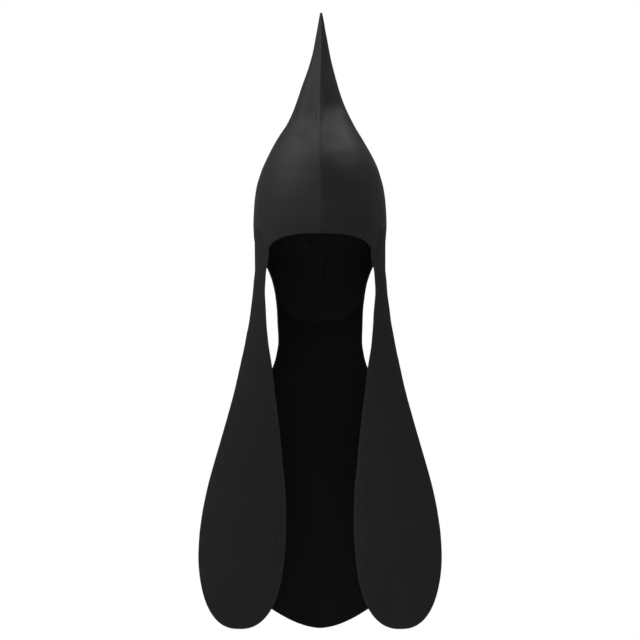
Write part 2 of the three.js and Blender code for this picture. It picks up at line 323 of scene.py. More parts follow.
def mix(a, b, share):
    return a + (b - a) * share


def soft_noise(points, size, seed):
    """Smooth value noise from -1 to 1, with features of about the given size."""
    period = 32
    lattice = np.random.default_rng(seed).uniform(-1, 1, (period, period, period))
    spot = np.asarray(points) / size
    base = np.floor(spot).astype(int)
    part = spot - base
    part = part * part * (3 - 2 * part)
    total = np.zeros(spot.shape[:-1])
    for corner in np.ndindex(2, 2, 2):
        cell = (base + corner) % period
        weight = np.prod(np.where(np.array(corner) == 1, part, 1 - part), axis=-1)
        total += weight * lattice[cell[..., 0], cell[..., 1], cell[..., 2]]
    return total


section = column_curves(SECTION_COLUMNS, SECTIONS)
lappet_section = column_curves(LAPPET_COLUMNS, LAPPET_SECTIONS)
CHEEK_HALF = float(section["half"](CHEEK_Z))


def half_width(z):
    """Half width of crown and tail, with the tail's end closed in a round."""
    drop = TAIL_ROUND_RATE * np.maximum(z - TAIL_ROUND_ZERO_Z, 0.1)
    rounded = drop ** TAIL_ROUND_POWER
    return mix(rounded, section["half"](z), smoothstep(TAIL_ROUND_Z, TAIL_ROUND_FROM_Z, z))


def lappet_width(z):
    """Width of the lappet, with its end closed in a round."""
    down = np.clip((LAPPET_WIDEST_Z - z) / LAPPET_ROUND, 0, 1)
    rounded = LAPPET_WIDEST * (1 - down ** LAPPET_ROUND_POWER) ** (1 / LAPPET_ROUND_POWER)
    return np.where(z < LAPPET_WIDEST_Z, rounded, lappet_section["width"](z))


def arch_point(turn, margin):
    """Point of the face arch, grown by a margin, at a turn in degrees from its top."""
    angle = np.radians(turn)
    across = np.abs(np.sin(angle)) ** (2 / ARCH_POWER)
    x = (ARCH_HALF_WIDTH + margin) * across * np.sign(angle)
    z = ARCH_BASE_Z + (ARCH_HEIGHT + margin) * np.cos(angle) ** (2 / ARCH_POWER)
    return x, z


def around_at(x):
    return np.degrees(np.arcsin(np.abs(x) / CHEEK_HALF))


CORNER_X, CORNER_Z = (float(value) for value in arch_point(BINDING_END_TURN, BINDING_WIDTH))
FRONT_X, FRONT_Z = (float(value) for value in arch_point(BINDING_END_TURN, 0.0))
CORNER_AROUND = float(around_at(CORNER_X))
LAPPET_FRONT_AROUND = float(around_at(FRONT_X))
edge_table = np.array([(CORNER_AROUND, CORNER_Z)] + CROWN_EDGE, float)
edge_behind_corner = column_curve(edge_table[:, 0], edge_table[:, 1])


def crown_edge(around):
    """Height of the crown's lower edge: the binding's top line, then the edge behind the corner."""
    x = CHEEK_HALF * np.sin(np.radians(around))
    share = np.clip(x / (ARCH_HALF_WIDTH + BINDING_WIDTH), 0, 1) ** ARCH_POWER
    arch = ARCH_BASE_Z + (ARCH_HEIGHT + BINDING_WIDTH) * (1 - share) ** (1 / ARCH_POWER)
    return np.where(around > CORNER_AROUND, edge_behind_corner(around), arch)


def lappet_top(around):
    """Height of the lappet's upper edge: the temple seam, then the end of the binding."""
    share = (around - LAPPET_FRONT_AROUND) / (CORNER_AROUND - LAPPET_FRONT_AROUND)
    below_binding = mix(FRONT_Z, CORNER_Z, np.clip(share, 0, 1))
    return np.where(around > CORNER_AROUND, crown_edge(around), below_binding)


def body_point(around, z):
    """Outside of crown and tail on the +X half, from the table of sections."""
    behind_ear = smoothstep(FRONT_ENDS_AROUND, BACK_STARTS_AROUND, around)
    level = mix(np.maximum(z, CHEEK_Z), z, behind_ear)
    across = np.sin(np.radians(around))
    along = np.cos(np.radians(around))
    ridge = section["ridge"](level)
    crest = ridge * (1 - across) ** RIDGE_POWER
    side = section["side"](level)
    front = side - (section["front"](level) - ridge) * along - crest
    curve = np.maximum(-along, 0.0) ** (2 * section["bend"](level))
    back = side + (section["back"](level) - ridge) * curve + crest
    x = half_width(level) * across
    return np.stack([x, np.where(along > 0, front, back), z + 0 * x], axis=-1)


def strip_point(u, z):
    """Outside of the hanging lappet on the +X side, from back edge (u 0) to front edge (u 1)."""
    facing = np.radians(lappet_section["facing"](z))
    along = (0.5 - u) * lappet_width(z)
    out = lappet_section["bow"](z) * (1 - (1 - 2 * u) ** 2)
    x = lappet_section["x"](z) + along * np.cos(facing) + out * np.sin(facing)
    y = lappet_section["y"](z) + along * np.sin(facing) - out * np.cos(facing)
    return np.stack([x, y, z + 0 * x], axis=-1)


# Grid lines: close together at an edge, so that it rounds over, and even between
EDGE_LADDER = np.array([0.0, 0.12, 0.3, 0.55, 0.85, 1.2, 1.7, 2.4, 3.4])
SHARE_LADDER = np.array([0.0, 0.0012, 0.0035, 0.007, 0.012, 0.018, 0.026, 0.034])
TIP_LADDER = np.array([1.2, 0.9, 0.6, 0.35, 0.15, 0.05])
HEM_SHARES = np.linspace(0.042, 0.13, 12)
SIDE_SHARES = np.linspace(0.045, 0.16, 10)
LAPPET_MIDDLE_FROM = 0.145
LAPPET_MIDDLE_COLUMNS = 38
LAPPET_LAST_SHARE = 0.855
TAIL_MIDDLE = np.linspace(0.045, 0.83, 48)
NOTCH_COLUMNS = 24
TURN_LADDER = np.array([0.0, 0.02, 0.06, 0.15, 0.3, 0.55, 0.9, 1.4])
ARCH_TURNS = np.concatenate([TURN_LADDER, np.linspace(2, BINDING_END_TURN, 52)])
HANG = 420.0
CROWN_ROWS = 150
BINDING_LADDER = np.array([0, 0.1, 0.25, 0.45, 0.7, 1.0, 1.35])
BINDING_MIDDLE = np.linspace(1.7, 3.3, 6)

# Columns: even rows, rows in the round end, share of the length where the round begins
LAPPET_ROWS = (210, 60, 0.83)
TAIL_ROWS = (190, 60, 0.86)


def lappet_shares():
    """Columns of a lappet as shares of its width, with one at the corner of the face opening."""
    span = LAPPET_BACK_AROUND - LAPPET_FRONT_AROUND
    corner = (LAPPET_BACK_AROUND - CORNER_AROUND) / span
    edge = np.concatenate([SHARE_LADDER, HEM_SHARES])
    middle = np.linspace(LAPPET_MIDDLE_FROM, corner, LAPPET_MIDDLE_COLUMNS)
    return np.concatenate([edge, middle, [LAPPET_LAST_SHARE], np.sort(1 - edge)])


def tail_shares():
    """Columns of a tail half as shares of its span, from centre back (0) to the side edge (1)."""
    edge = np.concatenate([SHARE_LADDER, SIDE_SHARES])
    return np.concatenate([SHARE_LADDER, TAIL_MIDDLE, np.sort(1 - edge)])


LAPPET_SHARES = lappet_shares()
TAIL_SHARES = tail_shares()
TEMPLE_AROUNDS = mix(LAPPET_BACK_AROUND, LAPPET_FRONT_AROUND, LAPPET_SHARES)
NAPE_AROUNDS = mix(BACK_SEAM_AROUND, NAPE_AROUND, TAIL_SHARES)
NOTCH_AROUNDS = np.linspace(LAPPET_BACK_AROUND, NAPE_AROUND, NOTCH_COLUMNS)[1:-1]


def hanging_rows(even, rounded, split):
    """Row shares for a hanging piece: a ladder at the seam, even rows, then closing to the end."""
    seam = EDGE_LADDER / HANG
    straight = np.linspace(seam[-1], split, even)[1:]
    end = split + (1 - split) * np.sin(np.linspace(0, math.pi / 2, rounded + 1)[1:])
    return np.concatenate([seam, straight, end])


def grid_lengths(points, axis):
    """Distance run along each grid line from its start."""
    steps = np.linalg.norm(np.diff(points, axis=axis), axis=-1)
    start = np.zeros_like(np.take(steps, [0], axis=axis))
    return np.concatenate([start, np.cumsum(steps, axis=axis)], axis=axis)


def grid_normals(points):
    """Unit normals of a grid, out of the side from which columns turn left into rows."""
    normal = np.cross(np.gradient(points, axis=1), np.gradient(points, axis=0))
    return normal / np.maximum(np.linalg.norm(normal, axis=-1, keepdims=True), 1e-12)


def line_values(at, run, values):
    return np.stack([np.interp(at, run, values[:, k]) for k in range(3)], axis=-1)


def resample(line, spacing):
    """Even points along a line."""
    run = grid_lengths(line[:, None], 0)[:, 0]
    at = np.linspace(0, run[-1], max(2, int(run[-1] / spacing) + 1))
    return line_values(at, run, line)


def line_distance(points, lines, spacing=0.25):
    """Distance of every grid point from the nearest of some edge lines."""
    dense = np.concatenate([resample(line, spacing) for line in lines])
    tree = KDTree(len(dense))
    for i, spot in enumerate(dense):
        tree.insert(spot, i)
    tree.balance()
    flat = points.reshape(-1, 3)
    return np.array([tree.find(spot)[2] for spot in flat]).reshape(points.shape[:2])


def edge_rounding(distance, share):
    """Share of the wall that is left near an edge, closing over it in a round."""
    t = np.clip(distance / EDGE_RADIUS, 0, 1)
    return share + (1 - share) * np.sqrt(1 - (1 - t) ** 2)


def fold_height(x, z, folds):
    """Height of soft creases along sagging lines, seen from the front."""
    total = np.zeros_like(x)
    for x0, z0, x1, z1, sag, height, width in folds:
        run = math.hypot(x1 - x0, z1 - z0)
        along = ((x - x0) * (x1 - x0) + (z - z0) * (z1 - z0)) / run
        beside = ((z - z0) * (x1 - x0) - (x - x0) * (z1 - z0)) / run
        t = along / run
        lift = beside + sag * 4 * np.clip(t * (1 - t), 0, 1)
        taper = smoothstep(*FOLD_STARTS, t) * (1 - smoothstep(*FOLD_ENDS, t))
        total += height * taper * np.exp(-((lift / width) ** 2))
    return total


def hem_height(free):
    """Turned hem along a free edge: a slightly full band that ends in a stitched groove."""
    puff = HEM_PUFF * (1 - smoothstep(HEM_WIDTH - HEM_PUFF_FADE, HEM_WIDTH, free))
    groove = HEM_GROOVE * np.exp(-(((free - HEM_WIDTH) / HEM_GROOVE_WIDTH) ** 2))
    return puff - groove


def seam_height(points, seam, seed):
    """Cloth beside a seam: a low welt over the allowance, with small puckers."""
    welt = SEAM_WELT * (1 - smoothstep(*SEAM_WELT_FADE, seam))
    pucker = PUCKER * np.exp(-seam / PUCKER_REACH) * soft_noise(points, PUCKER_SIZE, seed)
    return (welt + pucker) * smoothstep(0, SEAM_FLAT_REACH, seam)


class Grid:
    """One sewn piece as a grid of outside points, with its distances from seams and free edges."""

    def __init__(self, points, seams, frees, seed, seam_share=SEAM_EDGE_SHARE):
        self.points = points
        self.seam_share = seam_share
        self.seam = line_distance(points, seams)
        self.free = line_distance(points, frees)
        self.seed = seed
        self.height = seam_height(points, self.seam, seed) + hem_height(self.free)
        self.taut = np.ones(points.shape[:2])
        self.facing = None

    def ease(self, reach):
        """0 on the seams, 1 further in, so that neighbours still meet."""
        return smoothstep(0, reach, self.seam)

    def wrinkle(self, wrinkles):
        """Adds the soft unevenness of a table."""
        for height, size, reach in wrinkles:
            self.seed += 10
            uneven = soft_noise(self.points, size, self.seed)
            self.height = self.height + height * uneven * self.ease(reach)

    def fold(self, folds, side, mask=1.0):
        """Adds the creases of a table."""
        x, z = self.points[..., 0] * side, self.points[..., 2]
        self.height = self.height + fold_height(x, z, folds) * self.ease(FOLD_SEAM_REACH) * mask

    def normals(self, points):
        """Unit normals, turned beside a free edge to the way the whole piece faces."""
        found = grid_normals(points)
        if self.facing is None:
            return found
        steady = mix(self.facing, found, smoothstep(0, FACING_REACH, self.free)[..., None])
        return steady / np.linalg.norm(steady, axis=-1, keepdims=True)

    def outer(self):
        return self.points + self.normals(self.points) * self.height[..., None]

    def rounding(self):
        seam = edge_rounding(self.seam, self.seam_share)
        return np.minimum(seam, edge_rounding(self.free, FREE_EDGE_SHARE))

    def hem_fold(self):
        """Extra thickness on the inside, where the hem is turned up."""
        return HEM_FOLD * (1 - smoothstep(HEM_WIDTH, HEM_WIDTH + 1, self.free))

    def wear(self):
        return np.exp(-np.minimum(self.seam * SEAM_WEAR_RATE, self.free) / WEAR_REACH)


# Places in the square map of a piece: outside, inside and, under both, the rim
MAP_OUTSIDE = (0.005, 0.495)
MAP_INSIDE = (0.995, 0.505)
MAP_DOWN = (0.03, 0.995)
MAP_RIM_ALONG = (0.005, 0.995)
MAP_RIM_FILL = 0.8
MAP_RIM_LOW = 0.004
MAP_RIM_HIGH = 0.02


def average_shares(points, axis):
    """Growing shares from 0 to 1 along one axis of a grid, by mean length."""
    run = grid_lengths(points, axis).mean(axis=1 - axis)
    return run / run[-1]


def atlas_maps(points):
    """Map of the outside in one half of a square and of the inside in the other."""
    across = average_shares(points, 1)[None, :]
    down = average_shares(points, 0)[:, None]
    u, v = np.broadcast_arrays(across, down)
    front = np.stack([mix(*MAP_OUTSIDE, u), mix(*MAP_DOWN, v)], axis=-1)
    behind = np.stack([mix(*MAP_INSIDE, u), mix(*MAP_DOWN, v)], axis=-1)
    return front.reshape(-1, 2), behind.reshape(-1, 2)


def rim_map(count):
    """Map of the rim: a narrow strip under the two halves."""
    left = mix(*MAP_RIM_ALONG, np.arange(count) / count)
    right = left + MAP_RIM_FILL / count
    low = np.full(count, MAP_RIM_LOW)
    high = np.full(count, MAP_RIM_HIGH)
    corners = [(right, high), (left, high), (left, low), (right, low)]
    return np.stack([np.stack(corner, axis=-1) for corner in corners], axis=1)


def new_object(name, vertices, faces, materials):
    """Smooth mesh object at the origin, from points in millimetres."""
    mesh = bpy.data.meshes.new(name)
    mesh.from_pydata((vertices * MM).tolist(), [], faces, shade_flat=False)
    for material in materials:
        mesh.materials.append(material)
    obj = bpy.data.objects.new(name, mesh)
    bpy.context.scene.collection.objects.link(obj)
    return obj


def set_map(mesh, name, corners):
    layer = mesh.uv_layers.new(name=name)
    layer.data.foreach_set("uv", np.ascontiguousarray(corners, np.float32).ravel())


def place(points, side):
    """Points of the +X half on their own side, with the lean of the peak."""
    lean = LEAN * smoothstep(LEAN_FROM_Z, LEAN_TO_Z, points[..., 2])
    return np.stack([points[..., 0] * side + lean, points[..., 1], points[..., 2]], axis=-1)


def wall_object(name, grid, wall, cloth, side, materials, centre_seam=False):
    """Closed double-sided cloth wall of one sewn piece, with its maps and its wear."""
    outer = grid.outer()
    normal = grid.normals(outer)
    rounding = grid.rounding()
    middle = outer - normal * (wall / 2)[..., None]
    front = middle + normal * (wall / 2 * rounding)[..., None]
    behind = middle - normal * ((wall / 2 + grid.hem_fold()) * rounding)[..., None]
    if centre_seam:
        on_seam = grid.points[..., 0] < 1e-6
        front[..., 0] = np.where(on_seam, 0, np.maximum(front[..., 0], 0))
        held_off = np.maximum(behind[..., 0], SEAM_SIDE_SHARE * outer[..., 0])
        behind[..., 0] = np.where(on_seam, 0, held_off)
    rows, columns = outer.shape[:2]
    count = rows * columns
    index = np.arange(count).reshape(rows, columns)
    a, b = index[:-1, :-1].ravel(), index[:-1, 1:].ravel()
    c, d = index[1:, 1:].ravel(), index[1:, :-1].ravel()
    loop = np.concatenate([index[0, :-1], index[:-1, -1], index[-1, :0:-1], index[:0:-1, 0]])
    after = np.roll(loop, -1)
    outside_faces = np.stack([a, b, c, d], axis=1)
    inside_faces = count + np.stack([a, d, c, b], axis=1)
    rim_faces = np.stack([after, loop, count + loop, count + after], axis=1)
    faces = np.concatenate([outside_faces, inside_faces, rim_faces])
    vertices = np.concatenate([front.reshape(-1, 3), behind.reshape(-1, 3)])
    cloth_map = np.concatenate([cloth.reshape(-1, 2)] * 2)[faces]
    front_map, behind_map = atlas_maps(grid.points)
    atlas = [front_map[outside_faces], behind_map[inside_faces - count], rim_map(len(loop))]
    atlas = np.concatenate(atlas)
    if side == RIGHT:
        faces, cloth_map, atlas = faces[:, ::-1], cloth_map[:, ::-1], atlas[:, ::-1]
    obj = new_object(name, place(vertices, side), faces.tolist(), materials)
    mesh = obj.data
    set_map(mesh, "Cloth", cloth_map)
    set_map(mesh, "OFBake", atlas)
    kind = np.zeros(len(faces), np.int32)
    kind[len(outside_faces):len(outside_faces) + len(inside_faces)] = 1
    mesh.polygons.foreach_set("material_index", kind)
    for kept, values in (("worn", grid.wear()), ("taut", grid.taut)):
        both = np.tile(values.ravel(), 2).astype(np.float32)
        mesh.attributes.new(kept, "FLOAT", "POINT").data.foreach_set("value", both)
    mesh.update()
    tree = BVHTree.FromPolygons(front.reshape(-1, 3).tolist(), outside_faces.tolist())
    return obj, tree


# Thread of the hems
STITCH_LENGTH = 2.3
STITCH_PITCH = 3.1
STITCH_WIDTH = 0.36
STITCH_HEIGHT = 0.2
STITCH_SIDES = 6
STITCH_END_SHARE = 0.04
STITCH_LINE_STEP = 1.0
INSET_TRIES = 3
STITCH_SHARES = np.array([-1.0, -0.82, -0.4, 0.0, 0.4, 0.82, 1.0])


def inset_line(edge, tree, inset, turn, middle):
    """Line on the outside of a piece at a given inset from its edge, with the cloth's normals."""
    line = resample(edge, STITCH_LINE_STEP)
    along = np.gradient(line, axis=0)
    spots, normals = [], []
    for spot, way in zip(line, along):
        start = Vector(spot)
        step = Vector(way).normalized()
        inward = (Vector(middle) - start).normalized()
        normal = tree.find_nearest(start + inward * inset)[1]
        for _ in range(INSET_TRIES):
            inward = step.cross(normal).normalized() * turn
            near, normal = tree.find_nearest(start + inward * inset)[:2]
        spots.append(near)
        normals.append(normal)
    return np.array(spots), np.array(normals)


def stitch_row(line, normals):
    """Vertices and faces of a row of short raised stitches along a line."""
    run = grid_lengths(line[:, None], 0)[:, 0]
    at = np.arange(STITCH_PITCH, run[-1] - STITCH_PITCH, STITCH_PITCH)
    spot = line_values(at, run, line)
    out = line_values(at, run, normals)
    way = line_values(at + 0.5, run, line) - spot
    way /= np.linalg.norm(way, axis=-1, keepdims=True)
    across = np.cross(out, way)
    turn = np.arange(STITCH_SIDES) * 2 * math.pi / STITCH_SIDES
    share = STITCH_SHARES[None, :, None, None]
    full = np.sqrt(np.maximum(1 - share ** 2, STITCH_END_SHARE))
    ring_across = np.cos(turn)[None, None, :, None] * full * STITCH_WIDTH / 2
    ring_out = np.sin(turn)[None, None, :, None] * full * STITCH_HEIGHT / 2
    lift = STITCH_HEIGHT * (0.5 - share ** 2)
    vertices = spot[:, None, None] + way[:, None, None] * share * STITCH_LENGTH / 2
    vertices = vertices + across[:, None, None] * ring_across
    vertices = vertices + out[:, None, None] * (ring_out + lift)
    rings = len(STITCH_SHARES)
    faces = []
    for k in range(len(at)):
        first = k * rings * STITCH_SIDES
        for ring in range(rings - 1):
            low = first + ring * STITCH_SIDES
            up = low + STITCH_SIDES
            for s in range(STITCH_SIDES):
                following = (s + 1) % STITCH_SIDES
                faces.append((low + s, low + following, up + following, up + s))
        last = first + (rings - 1) * STITCH_SIDES
        faces.append(tuple(range(first + STITCH_SIDES - 1, first - 1, -1)))
        faces.append(tuple(range(last, last + STITCH_SIDES)))
    return vertices.reshape(-1, 3), faces


def stitch_object(name, line, normals, side, material):
    """One row of hem stitches as a piece of its own."""
    vertices, faces = stitch_row(line, normals)
    if side == RIGHT:
        faces = [face[::-1] for face in faces]
    obj = new_object(name, place(vertices, side), faces, [material])
    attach(obj, "root")
    return obj


# Loops of the knit, in metres and in shares of a loop
WALE = 0.0009
COURSE = 0.0007
LEG_SLANT = 1.6
LEG_LEVEL = 0.7
LEG_WAVE = 0.3
PURL_ROW_SHARE = 0.6
PURL_BUMP_SHARE = 0.25

# Unevenness of dye and fuzz, in metres, and how much each one counts
CLOUD_SIZE = 0.045
CLOUD_SHARE = 0.6
SPECK_SIZE = 0.006
SPECK_SHARE = 0.4
FUZZ_SIZE = 0.0016
FUZZ_DETAIL = 3.0
FUZZ_ROUGH = 0.1
FUZZ_SHARE = 0.5
LOOP_SHARE = 0.7
KNIT_STRENGTH = 0.35
KNIT_DEPTH = 0.00012
WORN_LEAST = 0.2
SHEEN_ROUGH = 0.4

# Thread: two tones in a fine twist
THREAD_DARK = (0.008, 0.008, 0.0085)
THREAD_LIGHT = (0.022, 0.022, 0.023)
TWIST_SCALE = 900.0
TWIST_DISTORTION = 2.0
TWIST_DEPTH = 0.00005
THREAD_ROUGH = 0.5
THREAD_SPECULAR = 0.3


def add_node(tree, kind, inputs=(), **settings):
    node = tree.nodes.new(kind)
    for name, value in settings.items():
        setattr(node, name, value)
    for name, value in dict(inputs).items():
        if isinstance(value, bpy.types.NodeSocket):
            tree.links.new(value, node.inputs[name])
        else:
            node.inputs[name].default_value = value
    return node


def calc(tree, operation, first, second=0.0):
    return add_node(tree, "ShaderNodeMath", {0: first, 1: second}, operation=operation).outputs[0]


def weighted(tree, first, first_share, second, second_share):
    """Sum of two values, each times its share."""
    added = calc(tree, "MULTIPLY", second, second_share)
    return calc(tree, "ADD", calc(tree, "MULTIPLY", first, first_share), added)


def noise(tree, vector, size, detail=2.0):
    inputs = {"Vector": vector, "Scale": 1 / size, "Detail": detail}
    return add_node(tree, "ShaderNodeTexNoise", inputs).outputs["Fac"]


def mix_colours(tree, share, first, second):
    """Colour between two, each a plain colour or another node's output."""
    node = add_node(tree, "ShaderNodeMix", {0: share}, data_type="RGBA")
    for socket, colour in ((6, first), (7, second)):
        if isinstance(colour, bpy.types.NodeSocket):
            tree.links.new(colour, node.inputs[socket])
        else:
            node.inputs[socket].default_value = (*colour, 1)
    return node.outputs[2]


def knit_height(tree, across, down):
    """Plain knit: upright columns of small slanting legs that meet in points."""
    column = calc(tree, "DIVIDE", across, WALE)
    from_middle = calc(tree, "ABSOLUTE", calc(tree, "SUBTRACT", calc(tree, "FRACT", column), 0.5))
    from_leg = calc(tree, "MULTIPLY", calc(tree, "SUBTRACT", from_middle, 0.25), 4.0)
    leg = calc(tree, "SUBTRACT", 1.0, calc(tree, "MULTIPLY", from_leg, from_leg))
    slant = calc(tree, "MULTIPLY", from_middle, LEG_SLANT)
    course = calc(tree, "SUBTRACT", calc(tree, "DIVIDE", down, COURSE), slant)
    wave = calc(tree, "SINE", calc(tree, "MULTIPLY", course, 2 * math.pi))
    full = calc(tree, "ADD", calc(tree, "MULTIPLY", wave, LEG_WAVE), LEG_LEVEL)
    return calc(tree, "MULTIPLY", leg, full)


def purl_height(tree, across, down):
    """Back of the knit: low bumps in level rows."""
    row = calc(tree, "SINE", calc(tree, "MULTIPLY", down, 2 * math.pi / COURSE))
    bump = calc(tree, "SINE", calc(tree, "MULTIPLY", across, 2 * math.pi / WALE))
    return weighted(tree, row, PURL_ROW_SHARE, bump, PURL_BUMP_SHARE)


def cloth_material(name, tones, roughness, sheen, specular, height):
    """Black knit with faint unevenness of dye, loops, fuzz and slightly greyed edges."""
    dark, light, worn = tones
    material = bpy.data.materials.new(name)
    material.use_nodes = True
    tree = material.node_tree
    shader = tree.nodes["Principled BSDF"]
    place_in = add_node(tree, "ShaderNodeTexCoord").outputs["Object"]
    flat = add_node(tree, "ShaderNodeUVMap", uv_map="Cloth").outputs["UV"]
    parts = add_node(tree, "ShaderNodeSeparateXYZ", {"Vector": flat})
    loops = height(tree, parts.outputs["X"], parts.outputs["Y"])
    clouds = noise(tree, place_in, CLOUD_SIZE)
    specks = noise(tree, place_in, SPECK_SIZE)
    fuzz = noise(tree, place_in, FUZZ_SIZE, FUZZ_DETAIL)
    shade = weighted(tree, clouds, CLOUD_SHARE, specks, SPECK_SHARE)
    # Dye unevenness between the two tones; for the lining and inside knits the tones themselves are
    # painted shade
    dye_and_shade = mix_colours(tree, shade, dark, light)
    edge = add_node(tree, "ShaderNodeAttribute", attribute_name="worn").outputs["Fac"]
    patchy = calc(tree, "MULTIPLY", edge, calc(tree, "ADD", specks, WORN_LEAST))
    tree.links.new(mix_colours(tree, patchy, dye_and_shade, worn), shader.inputs["Base Color"])
    slack, stretched = roughness
    taut = add_node(tree, "ShaderNodeAttribute", attribute_name="taut").outputs["Fac"]
    stretch = calc(tree, "MULTIPLY", taut, stretched - slack)
    even = calc(tree, "ADD", stretch, slack - FUZZ_ROUGH / 2)
    rough = calc(tree, "ADD", calc(tree, "MULTIPLY", fuzz, FUZZ_ROUGH), even)
    tree.links.new(rough, shader.inputs["Roughness"])
    relief = weighted(tree, loops, LOOP_SHARE, fuzz, FUZZ_SHARE)
    lift = {"Height": relief, "Strength": KNIT_STRENGTH, "Distance": KNIT_DEPTH}
    bump = add_node(tree, "ShaderNodeBump", lift)
    tree.links.new(bump.outputs["Normal"], shader.inputs["Normal"])
    shader.inputs["Sheen Weight"].default_value = sheen
    shader.inputs["Sheen Roughness"].default_value = SHEEN_ROUGH
    shader.inputs["Sheen Tint"].default_value = (1, 1, 1, 1)
    shader.inputs["Specular IOR Level"].default_value = specular
    return material


def thread_material():
    """Black thread with a twisted lustre."""
    material = bpy.data.materials.new("black_thread")
    material.use_nodes = True
    tree = material.node_tree
    shader = tree.nodes["Principled BSDF"]
    place_in = add_node(tree, "ShaderNodeTexCoord").outputs["Object"]
    wave = {"Vector": place_in, "Scale": TWIST_SCALE, "Distortion": TWIST_DISTORTION}
    twist = add_node(tree, "ShaderNodeTexWave", wave).outputs["Fac"]
    tone = mix_colours(tree, twist, THREAD_DARK, THREAD_LIGHT)
    tree.links.new(tone, shader.inputs["Base Color"])
    bump = add_node(tree, "ShaderNodeBump", {"Height": twist, "Distance": TWIST_DEPTH})
    tree.links.new(bump.outputs["Normal"], shader.inputs["Normal"])
    shader.inputs["Roughness"].default_value = THREAD_ROUGH
    shader.inputs["Specular IOR Level"].default_value = THREAD_SPECULAR
    return material


# Tones of each cloth: dark dye, light dye and greyed edge; the lining and inside tones are painted
# shade, darker than the outside for the shade inside the hood
OUTSIDE_TONES = ((0.0105, 0.0105, 0.011), (0.0145, 0.0145, 0.015), (0.017, 0.017, 0.0175))
LINING_SHADE_TONES = ((0.0055, 0.0055, 0.0058), (0.0075, 0.0075, 0.0078), (0.0075, 0.0075, 0.0078))
INSIDE_SHADE_TONES = ((0.003, 0.003, 0.0033), (0.0045, 0.0045, 0.0048), (0.0045, 0.0045, 0.0048))

# Roughness of slack cloth and of stretched cloth
OUTSIDE_ROUGH = (0.97, 0.52)
INSIDE_ROUGH = (0.85, 0.85)

# Columns: name, tones, roughness, sheen, specular, height of the loops
outside = cloth_material("knit_outside", OUTSIDE_TONES, OUTSIDE_ROUGH, 0.02, 0.13, knit_height)
hanging = cloth_material("knit_hanging", OUTSIDE_TONES, OUTSIDE_ROUGH, 0.01, 0.08, knit_height)
rolled = cloth_material("knit_binding", OUTSIDE_TONES, OUTSIDE_ROUGH, 0.02, 0.1, knit_height)
# Painted shade: the inside faces of tail and binding are a darker copy of the outside knit
inside = cloth_material("knit_inside_painted_shade", INSIDE_SHADE_TONES, INSIDE_ROUGH, 0.0, 0.04, purl_height)
# Painted shade: the crown's inside face is a darker copy of the outside knit
shaded_lining = cloth_material("knit_lining_painted_shade", LINING_SHADE_TONES, INSIDE_ROUGH, 0.0, 0.04, purl_height)
thread = thread_material()


def side_name(side):
    return "left" if side == LEFT else "right"


def cloth_shares(points, across_start=0.0):
    """Flat cloth coordinates of a grid in metres, across from its first column and down its rows."""
    across = grid_lengths(points, 1) - across_start
    down = grid_lengths(points, 0)
    return np.stack([across, down], axis=-1) * MM


def crown_arounds():
    """Columns of a crown half, shared along each seam with the piece sewn on there."""
    arch = around_at(arch_point(ARCH_TURNS, BINDING_WIDTH)[0])[:-1]
    temple = np.sort(TEMPLE_AROUNDS[TEMPLE_AROUNDS >= CORNER_AROUND - 1e-6])
    return arch, temple, np.concatenate([arch, temple, NOTCH_AROUNDS, np.sort(NAPE_AROUNDS)])


def hanging_taut(below_seam):
    """Stretch of a hanging piece, which soon goes slack below its seam."""
    return EDGE_TAUT * (1 - smoothstep(0, SLACK_REACH, below_seam))


def make_crown(side):
    """Half of the crown, from the face opening round to centre back."""
    arch, temple, around = crown_arounds()
    low = crown_edge(around)
    rise = PEAK_Z - low
    bottom, top = EDGE_LADDER[-1], TIP_LADDER[0]
    between = np.linspace(0, 1, CROWN_ROWS)[1:-1, None] * (rise - bottom - top) + bottom
    ladder = np.repeat(EDGE_LADDER[:, None], len(around), axis=1)
    z = low + np.concatenate([ladder, between, rise - TIP_LADDER[:, None]])
    points = body_point(around[None, :], z)
    into_tip = np.clip((z - PEAK_Z + TIP_ROUND) / TIP_ROUND, 0, TIP_CLOSED_SHARE)
    closing = np.sqrt(1 - into_tip ** 2)
    middle = float(section["side"](PEAK_Z))
    points[..., 0] *= closing
    points[..., 1] = middle + (points[..., 1] - middle) * closing
    notch_start = len(arch) + len(temple) - 1
    notch_end = notch_start + len(NOTCH_AROUNDS) + 1
    notch = points[0, notch_start:notch_end + 1]
    seams = [points[:, 0], points[:, -1], points[0, :notch_start + 1], points[0, notch_end:]]
    grid = Grid(points, seams, [notch], CROWN_SEED + side, CROWN_SEAM_SHARE)
    grid.taut = mix(1, EDGE_TAUT, smoothstep(TAUT_ABOVE_Z, EDGE_TAUT_BELOW_Z, z))
    in_front = smoothstep(BACK_STARTS_AROUND, FRONT_FOLDS_FADE_AROUND, around)[None, :]
    grid.wrinkle(CROWN_WRINKLES)
    grid.fold(CROWN_FRONT_FOLDS[side], side, in_front)
    grid.fold(CROWN_BACK_FOLDS[side], side, 1 - in_front)
    wall = CROWN_WALL * mix(TIP_WALL_SHARE, 1, smoothstep(0, TIP_WALL_REACH, PEAK_Z - z))
    name = f"crown_{side_name(side)}"
    cloth = cloth_shares(points[::-1])[::-1]
    # The crown's inside face takes the lining knit, darkened as painted shade
    cloths = [outside, shaded_lining]
    obj, tree = wall_object(name + "_cloth", grid, wall, cloth, side, cloths, centre_seam=True)
    line, normals = inset_line(notch, tree, HEM_WIDTH, -1, points.mean(axis=(0, 1)))
    stitches = stitch_object(name + "_hem_stitches", line, normals, side, thread)
    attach(obj, "root")
    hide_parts(name)


